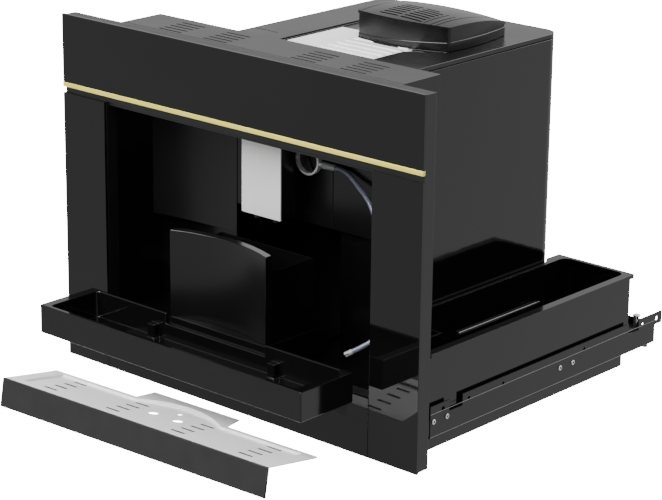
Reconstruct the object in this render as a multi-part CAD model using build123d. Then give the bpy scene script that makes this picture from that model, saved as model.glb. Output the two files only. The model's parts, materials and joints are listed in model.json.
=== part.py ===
"""A built-in coffee machine on pull-out rails, with its drip tray drawn out and its grid taken off.

Frame: X to the right along the front, Y into the cabinet, Z up. The origin is the middle of the
front panel's lower edge, in the plane where the panel meets the cabinet. Sizes are in millimetres.
"""
from build123d import *
import math
import os

# ---------------------------------------------------------------- front panel
front_width = 595.0
front_height = 455.0
panel_depth = 22.0  # glass face to cabinet face
glass_thickness = 4.0
glass_edge = 0.2  # softened edge of each pane
frame_inset = 1.0  # the frame stands this far inside the glass outline
seal_groove = 1.0  # groove in the frame's back beside each cabinet rail
seal_inset = 2.0
column_width = 75.0
column_height = 353.0
bottom_glass_height = 75.0
pane_seam = 0.8
finger_gap = 8.0  # between the columns' top and the brass strip
brass_height = 6.0
brass_depth = 5.5
brass_proud = 0.6
lintel_height = 4.5
lintel_setback = 2.5
lintel_depth = 16.0

# ---------------------------------------------------------------- sheet housing behind the panel
housing_side_gap = 6.5  # from the bay's side to the housing's side
housing_depth = 83.5
housing_drop = 9.0  # from the panel's top to the housing's top
sheet = 2.0
cover_thickness = 2.3
cover_flange = 18.0
cover_overhang = 2.5
cover_seam_y = 20.0
vent_rows = 5
vent_slot_length = 39.5
vent_slot_width = 2.6
vent_pitch = 10.35
vent_centres = (-154.0, -76.0, 69.6, 148.2)
vent_centre_y = 48.0

# ---------------------------------------------------------------- rear body
body_left = -134.0
body_right = 163.0
body_back = 411.0
body_drop = 11.0  # from the housing's top to the body's top
body_wall = 3.0
body_corner = 24.0
top_cover_thickness = 5.5
cover_lip = 6.0
cover_lip_gap = 0.3
cover_lip_width = 7.0
shadow_gap = 1.2
side_lid_width = 45.0
side_lid_front = 154.0
lid_seam = 0.8
rear_cover_inset = 30.0
rear_cover_lap = 6.0
rear_cover_thickness = 2.0
rear_vent_count = 12
rear_vent_pitch = 12.0
rear_vent_drop = 60.0
rear_vent_width = 96.0
rear_vent_height = 5.0
rear_vent_spacing = 124.0
well_depth = 3.0
cup_plate_left = -57.0
cup_plate_right = 90.0
cup_plate_front = 131.0
cup_plate_back = 241.0
cup_plate_thickness = 1.5
cup_plate_gap = 1.0
cup_rib_count = 5
cup_rib_width = 8.0
cup_rib_height = 1.4
cup_rib_pitch = 15.8
cup_rib_first = 142.0
cup_rib_left = -6.0
cup_rib_right = 84.0
cup_rib_end_share = 0.48  # of the rib's width, rounded at its ends
cup_groove = 9.0
cup_well_back = 300.0
cup_well_turn = 185.0  # where the well starts to widen towards the hopper
cup_well_tip = (134.0, 219.0)

# ---------------------------------------------------------------- bean hopper and grinder
lid_left = -6.0
lid_front = 209.0
lid_back = 345.5
lid_front_bow = (72.0, 202.5)
lid_right_front = (134.0, 221.0)
lid_right_bow = (135.5, 280.0)
lid_right_back = (125.0, 345.5)
lid_corner = 6.0
lid_lip = 3.5
lid_lip_overhang = 1.2
lid_wall = 2.5
dome_x = 41.1
dome_y = 245.9
dome_rise = 37.7  # from the body's top to the dome's highest point
dome_radius_x = 718.7
dome_radius_y = 325.7
collar_left_height = 5.0
collar_right_height = 12.0
collar_inset = 0.6
collar_rebate = 3.0
collar_rebate_width = 2.0
grille_front = 211.0
grille_pitch = 8.3
grille_rows = 7
grille_slot_width = 3.4
grille_left = (29.0, 58.0)
grille_right = (63.0, 96.0)
grille_right_last = 84.0
lid_groove_width = 1.4
lid_groove_depth = 0.7
lid_grooves_x = (100.0, 110.0)
lid_groove_back = 260.0
lid_seam_inset = 8.0
mouth_left = 8.0
mouth_right = 116.0
mouth_front = 223.0
mouth_back = 331.0
hopper_gap = 0.6
hopper_wall = 2.0
tub_depth = 34.0  # straight part of the hopper below the body's top
throat_half = 15.0
throat_share = 0.2  # the throat's straight part of the height below the tub
knob_ledge = 4.0
knob_drop = 14.0
knob_gap = 2.0
grinder_x = 52.0
grinder_y = 286.0
grinder_radius = 46.0
grinder_height = 46.0
grinder_wall = 4.0
burr_radius = 30.0
burr_height = 12.0
motor_radius = 34.0
motor_height = 74.0
throat_radius = 14.0
knob_radius = 15.0
knob_height = 20.0
knob_mark = 2.0
deck_rise = 1.0  # the shelf stands this far above the compartment's inside
deck_thickness = 3.0
deck_leg = 12.0
deck_gap = 4.0
motor_shaft_radius = 4.9
shaft_clearance = 0.1
case_shaft_gap = 1.0
shaft_depth = 10.0
burr_gap = 0.3
burr_taper = 0.55
burr_chamber_gap = 6.0

# ---------------------------------------------------------------- base and pull-out rails
base_height = 12.0
rail_inset = 20.0  # from the panel's side to the cabinet rail's outside
beam_width = 14.5
beam_height = 13.5
side_plate = 2.0
side_plate_top = 50.0
rail_bottom = 26.0
rail_height = 23.5
rail_sheet = 1.5
rail_lip = 10.0
rail_gap = 0.3
rail_front = 26.0
rail_beyond_tank = 52.5
rail_flange_top = 65.5
ear_length = 35.0
ear_notch = 25.0
rear_notch_before_end = 59.5
rear_notch_length = 22.5
rear_ear_length = 15.0
rail_hole = 2.2
rail_hole_height = 57.3
cabinet_hole = 3.0
cabinet_hole_front = 49.5
cabinet_hole_before_end = 11.0
second_hole = 98.0
flange_holes = (164.3, 330.1, 458.3)
rail_screw_places = (31.6, 56.5, 279.0, 305.8)
rail_screw_height = 45.8
rail_screw_radius = 3.2
middle_rail_length = 415.0
inner_rail_length = 395.0
foot_radius = 4.0
foot_height = 5.5
foot_before_end = 12.0
pin_radius = 3.2
pin_inset = 6.0
pin_behind_tank = 25.5
pin_height = 15.5
upstand_width = 24.0
upstand_top = 61.0
pin_head_radius = 5.3
pin_head_height = 2.2

# ---------------------------------------------------------------- serving bay
liner_depth = 80.0
bay_clearance = 1.5
compartment_width = 176.0
compartment_depth = 110.0
compartment_headroom = 7.0  # above the grounds container
rear_left_edge = -83.0
rear_left_bottom = 190.0
rear_left_rise = 12.0  # how far the left panel comes forward at the side wall
rear_left_bend = 62.0
rear_left_bend_rise = 2.5
rear_left_round = 2.0
rear_right_seam = 78.0
rear_right_rise = 14.0
rear_right_bend = 55.0
rear_right_bend_rise = 3.5
rear_panel_depth = 5.0
spout_width = 65.0
spout_bottom = 240.0
spout_headroom = 3.0
spout_lip = 2.0
spout_front = 29.0
spout_depth = 21.0
spout_wall = 2.5
spout_plate_thickness = 2.0
spout_plate_corner = 1.0
spout_tongue = 20.0
spout_fit = 0.3
nozzle_radius = 4.2
nozzle_bore = 2.0
nozzle_length = 9.0
nozzle_spacing = 31.0
nozzle_y = 40.0
frother_x = 43.5
frother_drop = 40.5  # from the bay's top to the dial's middle
frother_front = 64.0
frother_radius = 18.7
frother_ring_wall = 2.6
frother_ring_depth = 7.5
frother_base_inset = 1.0
dial_gap = 0.3
dial_plate = 3.0
dial_fin = 5.0
dial_fin_gap = 2.0
dial_fin_setback = 0.5
dial_angle = 62.0

# ---------------------------------------------------------------- milk hose
hose_diameter = 6.0
fitting_radius = 4.6
fitting_end_radius = 3.8
fitting_length = 20.0
neck_radius = 2.6
neck_length = 6.5
tip_radius = 3.2
tip_length = 10.0
tip_bore = 2.1
tip_bore_depth = 8.0
tip_notch = 2.0
tip_notch_depth = 4.5
hose_y = 68.0
hose_drop = 1.9  # from the dial's middle to the port's middle
port_end = 67.3
hose_bend_share = 0.45  # of the shorter run beside a bend, taken by its arc
hose_points = (
    (102.0, 68.0, 0.0),
    (118.0, 65.5, -8.6),
    (130.0, 62.0, -14.6),
    (142.0, 58.0, -19.8),
    (153.0, 54.2, -26.2),
    (163.0, 50.5, -36.0),
    (173.0, 46.5, -51.0),
    (184.0, 41.0, -72.5),
    (195.0, 33.0, -96.6),
    (206.5, 24.5, -119.1),
    (214.7, 13.3, -140.0),
    (218.3, 3.8, -159.5),
    (213.5, -4.2, -171.2),
    (193.4, -18.2, -184.7),
)  # X, Y and the height above the port

# ---------------------------------------------------------------- drip tray, container and grid
tray_out = 118.0  # how far the tray is drawn out at rest
tray_side_gap = 1.5
tray_depth = 90.0
tray_height = 37.0
tray_wall = 3.0
tray_floor = 2.5
tray_front_rim = 6.0
tray_side_rim = 14.0
tray_back_rim = 5.0
tray_corner = 5.0
tray_lip = 1.5
runner_height = 3.0
runner_width = 8.0
runner_place = 52.0
tongue_width = 164.0
tongue_length = 98.0
tongue_top = 111.0
tongue_notch = 101.0
tongue_notch_clearance = 3.5  # on each side of the grounds container
post_width = 12.0
post_depth = 9.0
post_height = 18.0
post_place = 102.0
container_width = 161.0
container_top = 223.0
container_front_wall = 11.0
container_hollow = 16.0  # how far its front curves inwards
bin_wall = 2.5
bin_height = 90.0
bin_depth = 78.0
bin_setback = 20.0
container_edge = 0.6
grid_width = 431.6
grid_depth = 87.8
grid_sheet = 1.5
grid_tab_width = 150.0
grid_tab_depth = 28.0
grid_tab_rise = 4.4
grid_tab_bend = 4.8  # the rise starts this far before the grid's back edge
grid_tab_splay = 5.0
grid_side_rim = 19.0
grid_front_rim = 12.0
grid_back_rim = 6.0
grid_well_depth = 3.0
grid_arc_width = 140.0
grid_arc_depth = 22.0
grid_leg_inner = 80.0
grid_leg_outer = 122.0
fascia_height = 36.8
fascia_thickness = 3.0
fascia_slot = 1.8  # the open fold at each end
fascia_slot_depth = 8.0
fascia_overlap = 1.0
grid_tilt = 10.0
grid_turn = 2.35
grid_place_x = -1.2
grid_place_y = -192.5
grid_slot_places = (-160.0, -53.5, 53.5, 160.0)
grid_slot_first = 24.5
grid_slot_pitch = 17.3
grid_slot_rows = 4
grid_slot_length = 21.5
grid_slot_width = 4.0
grid_hole_radius = 6.5
grid_hole_place = (20.0, 60.5)
grid_small_hole_radius = 4.0
grid_small_hole_y = 86.0

# ---------------------------------------------------------------- water tank
tank_side_gap = 5.0
tank_front_gap = 3.5
tank_neck_front = 25.0
tank_beyond_body = 22.5
tank_bottom = 52.0
tank_top = 131.5
tank_wall = 2.5
tank_corner = 14.0
rim_height = 5.0
rim_left = 3.0
rim_right = 5.0
rim_inner_right = 6.0
rim_back = 0.5
rim_corner = 2.5
rim_heel = 9.0  # how far the rim reaches round the body's back
pipe_radius = 2.0
pipe_height = 84.0
pipe_front = 206.0
pipe_back = 372.0
valve_radius = 9.0
valve_height = 12.0
valve_wall = 3.0
valve_inset = 40.0
valve_y = 400.0

# ---------------------------------------------------------------- inside the body
brew_x = -76.0
brew_y = 262.0
brew_radius = 28.0
brew_wall = 4.0
brew_height = 120.0
brew_base = 30.0
brew_foot_half = 40.0
piston_fit = 0.08
piston_height = 22.0
piston_start = 34.0
rod_length = 70.0
rod_radius = 6.0
boiler_x = 96.0
boiler_y = 262.0
boiler_radius = 30.0
boiler_height = 130.0
boiler_band = 3.0
boiler_band_height = 10.0
boiler_band_places = (0.25, 0.7)  # shares of its height
boiler_round = 8.0
pump_x = 10.0
pump_y = 352.0
pump_radius = 17.0
pump_length = 96.0
pump_nose_length = 14.0
pump_nose_radius = 7.0
pump_lift = 8.0
pump_sink = 1.0
cradle_length = 60.0
cradle_depth = 28.0
board_width = 300.0
board_margin = 13.0
board_thickness = 1.6
chip_height = 5.0
board_chips = (
    (-0.6, 0.32, 0.17, 0.42),
    (0.13, 0.55, 0.27, 0.26),
    (0.64, 0.39, 0.13, 0.48),
)  # place, width and height, as shares of the half board and of its height
inlet_width = 50.0
inlet_height = 27.5
inlet_depth = 30.0
inlet_x = 104.0
inlet_z = 60.0
inlet_side = 12.0
inlet_rim = 5.0
inlet_well_depth = 20.0
inlet_pin_width = 2.0
inlet_pin_height = 4.0
inlet_pin_pitch = 7.0

# ---------------------------------------------------------------- worked-out places
half = front_width / 2
face = -panel_depth
frame_face = face + glass_thickness
opening_half = half - column_width
opening_bottom = bottom_glass_height
opening_top = column_height
brass_bottom = column_height + finger_gap
brass_top = brass_bottom + brass_height
housing_half = opening_half + housing_side_gap
housing_top = front_height - housing_drop
body_top = housing_top - body_drop
cover_top = housing_top + cover_thickness
cover_half = housing_half + sheet
cover_back = housing_depth + cover_overhang
rail_half = half - rail_inset
liner_back = liner_depth - sheet
floor_top = base_height + sheet
tray_front = face + sheet - tray_out
tray_back = tray_front + tray_depth
tray_half = opening_half - tray_side_gap
tray_bottom = bottom_glass_height + runner_height
tray_top = tray_bottom + tray_height
cover_bottom = body_top - top_cover_thickness
shell_top = cover_bottom - shadow_gap
base_back = body_back + rear_cover_thickness
tank_left = body_right + tank_side_gap
tank_right = rail_half - tank_side_gap
tank_front = cover_back + tank_front_gap
tank_neck_left = cover_half + tank_side_gap
tank_back = body_back + tank_beyond_body
pin_place = tank_back + pin_behind_tank
shelf_end = pin_place + 2 * pin_radius
rail_back = tank_back + rail_beyond_tank
rear_ear_back = rail_back + rear_ear_length
rear_notch_front = rail_back - rear_notch_before_end
cabinet_hole_back = rear_ear_back - cabinet_hole_before_end
foot_place = rail_back - foot_before_end
compartment_top = container_top + compartment_headroom
deck_height = compartment_top + deck_rise
frother_z = opening_top - frother_drop
hose_z = frother_z - hose_drop
spout_top = opening_top - spout_headroom
well_floor = body_top - well_depth
tub_bottom = body_top - tub_depth
board_height = front_height - brass_top - 2 * board_margin


# ---------------------------------------------------------------- shape helpers
def block(x0, x1, y0, y1, z0, z1):
    """A box given by its limits."""
    size = Box(x1 - x0, y1 - y0, z1 - z0)
    return Pos((x0 + x1) / 2, (y0 + y1) / 2, (z0 + z1) / 2) * size


def soft_block(x0, x1, y0, y1, z0, z1, radius):
    """A box whose upright edges are rounded."""
    solid = block(x0, x1, y0, y1, z0, z1)
    return fillet(solid.edges().filter_by(Axis.Z), radius)


def upright(x, y, z0, z1, radius):
    """A round bar along Z."""
    return Pos(x, y, (z0 + z1) / 2) * Cylinder(radius, z1 - z0)


def bar_y(x, z, y0, y1, radius):
    """A round bar along Y."""
    return Pos(x, (y0 + y1) / 2, z) * Rot(90, 0, 0) * Cylinder(radius, y1 - y0)


def bar_x(y, z, x0, x1, radius):
    """A round bar along X."""
    return Pos((x0 + x1) / 2, y, z) * Rot(0, 90, 0) * Cylinder(radius, x1 - x0)


def mirrored(solid):
    """The same piece on the other side of the middle plane."""
    return mirror(solid, about=Plane.YZ)


def prism(points, z0, z1):
    """An upright prism over a plan outline."""
    wire = Polyline(*points, close=True)
    return extrude(Plane.XY.offset(z0) * make_face(wire), z1 - z0)


# ---------------------------------------------------------------- front panel pieces
def pane(x0, x1, z0, z1):
    """A glass pane with softened front edges."""
    solid = block(x0, x1, face, frame_face, z0, z1)
    front_edges = solid.faces().sort_by(Axis.Y)[0].edges()
    return chamfer(front_edges, glass_edge)


def make_panel_frame():
    """The carrier behind the glass, open over the serving bay."""
    edge = half - frame_inset
    solid = block(-edge, edge, frame_face, 0, frame_inset, front_height - frame_inset)
    bay = block(-opening_half, opening_half, frame_face, 0, opening_bottom, opening_top)
    groove = block(
        rail_half + seal_inset, rail_half + seal_inset + seal_groove, -seal_groove, 0, 0, front_height
    )
    return solid - bay - groove - mirrored(groove)


def make_brass_strip():
    """The strip along the top pane's lower edge, standing a little proud."""
    front = face - brass_proud
    strip = block(-half, half, front, front + brass_depth, brass_bottom, brass_top)
    seat = block(-half, half, frame_face, 0, brass_bottom, brass_top)
    return strip - seat


def make_lintel():
    """The bar that closes the top of the bay behind the finger groove."""
    front = frame_face + lintel_setback
    back = frame_face + lintel_depth
    bottom = opening_top - lintel_height
    return block(-opening_half, opening_half, front, back, bottom, opening_top)


# ---------------------------------------------------------------- housing, base and carriage
def make_vent_housing():
    """Side and rear walls behind the panel, open where the rear body joins."""
    outer = block(-housing_half, housing_half, 0, housing_depth, floor_top, housing_top)
    side = housing_half - sheet
    inner = block(-side, side, 0, housing_depth - sheet, floor_top, housing_top)
    passage = block(body_left + body_wall, body_right - body_wall, 0, housing_depth, floor_top, shell_top)
    return outer - inner - passage


def vent_slots():
    """The groups of long slots in the housing's lid."""
    slots = []
    for x in vent_centres:
        left, right = x - vent_slot_length / 2, x + vent_slot_length / 2
        for row in range(vent_rows):
            y = vent_centre_y + (row - (vent_rows - 1) / 2) * vent_pitch
            front, back = y - vent_slot_width / 2, y + vent_slot_width / 2
            slots.append(block(left, right, front, back, housing_top, cover_top))
    return slots


def make_vent_cover():
    """The slotted lid, folded down at its sides, with a seam behind its front band."""
    plate = block(-cover_half, cover_half, 0, cover_back, housing_top, cover_top)
    flange = block(housing_half, cover_half, 0, cover_back, housing_top - cover_flange, housing_top)
    seam_depth = cover_thickness / 2
    seam = block(
        -cover_half, cover_half, cover_seam_y, cover_seam_y + pane_seam, cover_top - seam_depth, cover_top
    )
    return plate + flange + mirrored(flange) - vent_slots() - seam


def make_base_pan():
    """The floor plate between the two side profiles."""
    edge = rail_half - beam_width
    return block(-edge, edge, 0, base_back, base_height, floor_top)


def make_carriage_side():
    """The right side profile: a low hollow beam and the plate that carries the inner rail."""
    inner = rail_half - beam_width
    beam = block(inner, rail_half, 0, base_back, base_height, base_height + beam_height)
    hollow = block(
        inner + side_plate,
        rail_half - side_plate,
        0,
        base_back,
        base_height + side_plate,
        base_height + beam_height - side_plate,
    )
    plate = block(inner - side_plate, inner, 0, base_back, floor_top, side_plate_top)
    return beam - hollow + plate


def make_tank_shelf():
    """The shelf between the body and the right side plate, under the water tank."""
    right = tank_right - tank_wall
    shelf = block(body_right, right, cover_back, shelf_end, side_plate_top, tank_bottom)
    neck = block(tank_neck_left, right, 0, cover_back, side_plate_top, tank_bottom)
    upstand_left = right - upstand_width
    upstand_front = shelf_end - side_plate
    upstand = block(upstand_left, right, upstand_front, shelf_end, side_plate_top, upstand_top)
    return shelf + neck + upstand


def make_stop_pin():
    """The headed pin behind the tank."""
    x = tank_right - pin_inset
    top = tank_bottom + pin_height
    head = upright(x, pin_place, top - pin_head_height, top, pin_head_radius)
    return head + upright(x, pin_place, tank_bottom, top, pin_radius)


# ---------------------------------------------------------------- rails
def make_outer_rail():
    """The right cabinet rail: a C section under a flange with mounting ears."""
    inside = rail_half - rail_sheet
    flange_bottom = rail_bottom + rail_height
    web = block(inside, rail_half, rail_front, rail_back, rail_bottom, flange_bottom)
    lip_top = rail_bottom + rail_sheet
    lip = block(inside - rail_lip, rail_half, rail_front, rail_back, rail_bottom, lip_top)
    top_lip = Pos(0, 0, rail_height - rail_sheet) * lip
    flange = block(inside, rail_half, rail_front, rear_ear_back, flange_bottom, rail_flange_top)
    front_notch = block(
        rail_half - rail_sheet,
        rail_half,
        rail_front + ear_length,
        rail_front + ear_length + ear_notch,
        flange_bottom + rail_sheet,
        rail_flange_top,
    )
    rear_notch = block(
        rail_half - rail_sheet,
        rail_half,
        rear_notch_front,
        rear_notch_front + rear_notch_length,
        flange_bottom + rail_sheet,
        rail_flange_top,
    )
    solid = web + lip + top_lip + flange - front_notch - rear_notch
    for y in (cabinet_hole_front, cabinet_hole_back):
        solid -= bar_x(y, rail_hole_height, rail_half - rail_lip, rail_half + rail_lip, cabinet_hole)
    for y in (second_hole, *flange_holes):
        solid -= bar_x(y, rail_hole_height, rail_half - rail_lip, rail_half + rail_lip, rail_hole)
    return solid


def make_middle_rail():
    """The right middle rail, a C section that runs inside the cabinet rail."""
    outside = rail_half - rail_sheet - rail_gap
    bottom = rail_bottom + rail_sheet + rail_gap
    top = rail_bottom + rail_height - rail_sheet - rail_gap
    back = rail_front + middle_rail_length
    outer = block(outside - rail_sheet - rail_lip, outside, rail_front, back, bottom, top)
    inner = block(
        outside - rail_sheet - rail_lip,
        outside - rail_sheet,
        rail_front,
        back,
        bottom + rail_sheet,
        top - rail_sheet,
    )
    return outer - inner


def make_inner_rail():
    """The right inner rail, fixed to the carriage's side plate."""
    inside = rail_half - beam_width
    outside = rail_half - 2 * (rail_sheet + rail_gap)
    bottom = rail_bottom + 2 * (rail_sheet + rail_gap)
    top = rail_bottom + rail_height - 2 * (rail_sheet + rail_gap)
    back = rail_front + inner_rail_length
    outer = block(inside, outside, rail_front, back, bottom, top)
    inner = block(inside + rail_sheet, outside, rail_front, back, bottom + rail_sheet, top - rail_sheet)
    return outer - inner


def make_rail_screws():
    """Round screw heads on the cabinet rails' outside."""
    heads = []
    for y in rail_screw_places:
        head = bar_x(y, rail_screw_height, rail_half, rail_half + rail_sheet, rail_screw_radius)
        heads += [head, mirrored(head)]
    return heads


def make_rail_feet():
    """A short rubber foot under the back of each cabinet rail."""
    x = rail_half - rail_sheet - rail_lip / 2
    foot = upright(x, foot_place, rail_bottom - foot_height, rail_bottom, foot_radius)
    return [foot, mirrored(foot)]


# ---------------------------------------------------------------- serving bay
def runner_pair(y0, y1):
    """Two ribs on the floor that the tray's tongue slides on."""
    left = runner_place - runner_width / 2
    right = runner_place + runner_width / 2
    rib = block(left, right, y0, y1, opening_bottom, opening_bottom + runner_height)
    return rib + mirrored(rib)


def make_cavity_liner():
    """The bay's walls, with a passage for the grounds container and a slot for the spout."""
    side = opening_half + sheet
    outer = block(-side, side, 0, liner_depth, opening_bottom - sheet, opening_top + sheet)
    inner = block(-opening_half, opening_half, 0, liner_back, opening_bottom, opening_top)
    passage_half = compartment_width / 2
    passage = block(-passage_half, passage_half, liner_back, liner_depth, opening_bottom, compartment_top)
    slot_half = spout_width / 2 + bay_clearance
    slot_front = spout_front - bay_clearance
    slot = block(-slot_half, slot_half, slot_front, liner_back, opening_top, opening_top + sheet)
    return outer - inner - passage - slot + runner_pair(0, liner_depth)


def make_compartment():
    """The deeper box behind the bay that takes the grounds container."""
    side = compartment_width / 2
    back = liner_depth + compartment_depth
    outside = side + sheet
    outer = block(-outside, outside, liner_depth, back, opening_bottom - sheet, compartment_top + sheet)
    inner = block(-side, side, liner_depth, back - sheet, opening_bottom, compartment_top)
    return outer - inner + runner_pair(liner_depth, back - sheet)


def make_rear_panel_left():
    """The moulded panel at the bay's upper left, curving in from the side wall."""
    left = -opening_half
    front = liner_back - rear_panel_depth
    start = front - rear_left_rise
    bend = (left + rear_left_bend, front - rear_left_bend_rise)
    curve = ThreePointArc((left, start), bend, (rear_left_edge, front))
    sides = Polyline((rear_left_edge, front), (rear_left_edge, liner_back), (left, liner_back), (left, start))
    outline = make_face(curve + sides)
    solid = extrude(Plane.XY.offset(rear_left_bottom) * outline, opening_top - rear_left_bottom)
    low = solid.edges().filter_by(Axis.Y).sort_by(Axis.Z)[0]
    return fillet(low, rear_left_round)


def make_rear_panel_centre():
    """The flat panel behind the spout, with the channel that guides it."""
    front = liner_back - rear_panel_depth
    bottom = compartment_top
    panel = block(rear_left_edge + pane_seam, rear_right_seam, front, liner_back, bottom, opening_top)
    outer_half = spout_tongue / 2 + rear_panel_depth
    guide_front = spout_front + spout_plate_thickness + spout_depth + spout_fit
    guide = block(-outer_half, outer_half, guide_front, front, bottom, opening_top)
    slot_half = spout_tongue / 2 + spout_fit
    slot = block(-slot_half, slot_half, guide_front, front, bottom, opening_top)
    return panel + guide - slot


def make_rear_panel_right():
    """The panel at the bay's upper right, curving in from the side wall."""
    right = opening_half
    front = liner_back - rear_panel_depth
    left = rear_right_seam + pane_seam
    start = front - rear_right_rise
    bend = (right - rear_right_bend, front - rear_right_bend_rise)
    curve = ThreePointArc((right, start), bend, (left, front))
    sides = Polyline((left, front), (left, liner_back), (right, liner_back), (right, start))
    return extrude(Plane.XY.offset(compartment_top) * make_face(curve + sides), opening_top - compartment_top)


def make_spout_block():
    """The spout's body with the tongue that runs in the guide."""
    front = spout_front + spout_plate_thickness
    back = front + spout_depth
    side = spout_width / 2
    bottom = spout_bottom + spout_lip
    body = block(-side, side, front, back, bottom, spout_top)
    body -= block(
        -side + spout_wall,
        side - spout_wall,
        front + spout_wall,
        back - spout_wall,
        bottom + 2 * spout_wall,
        spout_top,
    )
    tongue_back = liner_back - rear_panel_depth - spout_fit
    tongue = block(-spout_tongue / 2, spout_tongue / 2, back, tongue_back, bottom, spout_top)
    return body + tongue


def make_spout_plate():
    """The steel plate on the spout's front."""
    side = spout_width / 2
    back = spout_front + spout_plate_thickness
    solid = block(-side, side, spout_front, back, spout_bottom, spout_top)
    return fillet(solid.edges().filter_by(Axis.Y), spout_plate_corner)


def make_nozzles():
    """Two coffee outlets under the spout."""
    top = spout_bottom + spout_lip
    outlets = []
    for side in (-1, 1):
        x = side * nozzle_spacing / 2
        outlet = upright(x, nozzle_y, top - nozzle_length, top, nozzle_radius)
        outlets.append(outlet - upright(x, nozzle_y, top - nozzle_length, top, nozzle_bore))
    return outlets


def make_frother_body():
    """The milk frother's round base on the rear panel."""
    front = frother_front + frother_ring_depth
    radius = frother_radius - frother_base_inset
    return bar_y(frother_x, frother_z, front, liner_back - rear_panel_depth, radius)


def make_frother_ring():
    """The chrome ring round the dial, with the hose port on its right."""
    back = frother_front + frother_ring_depth
    ring = bar_y(frother_x, frother_z, frother_front, back, frother_radius)
    ring -= bar_y(frother_x, frother_z, frother_front, back, frother_radius - frother_ring_wall)
    port = bar_x(hose_y, hose_z, port_end - neck_length, port_end, neck_radius)
    return ring + port


def make_frother_dial():
    """The dial inside the ring, with a slanted grip."""
    back = frother_front + frother_ring_depth
    radius = frother_radius - frother_ring_wall - dial_gap
    plate = bar_y(frother_x, frother_z, back - dial_plate, back - dial_gap, radius)
    reach = radius - dial_fin_gap
    front = frother_front + dial_fin_setback
    grip = block(-reach, reach, front, back - dial_plate, -dial_fin / 2, dial_fin / 2)
    return plate + Pos(frother_x, 0, frother_z) * Rot(0, dial_angle, 0) * grip


# ---------------------------------------------------------------- milk hose
def hose_path():
    """Straight runs joined by arcs as large as the runs allow."""
    points = [Vector(port_end + fitting_length, hose_y, hose_z)]
    points += [Vector(x, y, hose_z + z) for x, y, z in hose_points]
    radii = []
    for before, here, after in zip(points, points[1:], points[2:]):
        run = min((here - before).length, (after - here).length)
        turn = math.radians((here - before).get_angle(after - here))
        radii.append(hose_bend_share * run / math.tan(turn / 2))
    return FilletPolyline(*points, radius=radii), radii


def make_milk_hose():
    """The free hose from the frother's port to its tip."""
    path, radii = hose_path()
    print("hose radii", [round(r, 1) for r in radii], "length", round(path.length, 1))
    section = Plane(path @ 0, z_dir=path % 0) * Circle(hose_diameter / 2)
    tube = sweep(section, path=path)
    area = math.pi * hose_diameter**2 / 4
    print("hose volume over section times length", round(tube.volume / (area * path.length), 4))
    return tube


def make_hose_fitting():
    """The push-on fitting between the port and the hose."""
    start = Plane((port_end, hose_y, hose_z), z_dir=(1, 0, 0))
    return Solid.make_cone(fitting_radius, fitting_end_radius, fitting_length, plane=start)


def make_hose_tip():
    """The sleeve on the hose's free end, with a bore and a notched mouth."""
    path, _ = hose_path()
    along = path % 1
    start = Plane(path @ 1, x_dir=along.cross(Vector(0, 0, 1)), z_dir=along)
    sleeve = start * Pos(0, 0, tip_length / 2) * Cylinder(tip_radius, tip_length)
    sleeve -= start * Pos(0, 0, tip_length - tip_bore_depth / 2) * Cylinder(tip_bore, tip_bore_depth)
    notch = Box(2 * tip_radius, tip_notch, tip_notch_depth)
    return sleeve - start * Pos(0, 0, tip_length - tip_notch_depth / 2) * notch


# ---------------------------------------------------------------- drip tray and container
def make_drip_tray():
    """The open basin with the tongue behind it that carries the grounds container."""
    basin = soft_block(-tray_half, tray_half, tray_front, tray_back, tray_bottom, tray_top, tray_lip)
    hollow = soft_block(
        -tray_half + tray_side_rim,
        tray_half - tray_side_rim,
        tray_front + tray_front_rim,
        tray_back - tray_back_rim,
        tray_bottom + tray_floor,
        tray_top,
        tray_corner,
    )
    half_tongue = tongue_width / 2
    half_notch = container_width / 2 + tongue_notch_clearance
    notch = block(-half_notch, half_notch, tray_back - tray_back_rim, tray_back, tongue_notch, tray_top)
    back = tray_back + tongue_length
    tongue = block(-half_tongue, half_tongue, tray_back, back, tray_bottom, tongue_top)
    under = block(
        -half_tongue + tray_wall,
        half_tongue - tray_wall,
        tray_back + tray_wall,
        back - tray_wall,
        tray_bottom,
        tongue_top - tray_wall,
    )
    shoe = block(
        runner_place - runner_width,
        runner_place + runner_width,
        tray_back + tray_wall,
        back - tray_wall,
        tray_bottom,
        tray_bottom + tray_wall,
    )
    tray = basin - hollow - notch + (tongue - under) + shoe + mirrored(shoe)
    post_back = tray_back - tray_back_rim
    floor = tray_bottom + tray_floor
    left = post_place - post_width / 2
    post = block(left, left + post_width, post_back - post_depth, post_back, floor, floor + post_height)
    return tray + post + mirrored(post)


def container_arc(depth, half_width):
    """The inward curve of the container's front, moved back by a depth."""
    y = tray_back + depth
    return ThreePointArc((-half_width, y), (0, y + container_hollow), (half_width, y))


def make_grounds_front():
    """The curved front wall of the grounds container."""
    side = container_width / 2
    front = container_arc(0, side)
    rear = container_arc(container_front_wall, side)
    left = Line((-side, tray_back), (-side, tray_back + container_front_wall))
    right = Line((side, tray_back), (side, tray_back + container_front_wall))
    outline = make_face(front + right + rear + left)
    solid = extrude(Plane.XY.offset(tongue_top) * outline, container_top - tongue_top)
    return chamfer(solid.faces().sort_by(Axis.Z)[-1].edges(), container_edge)


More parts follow.
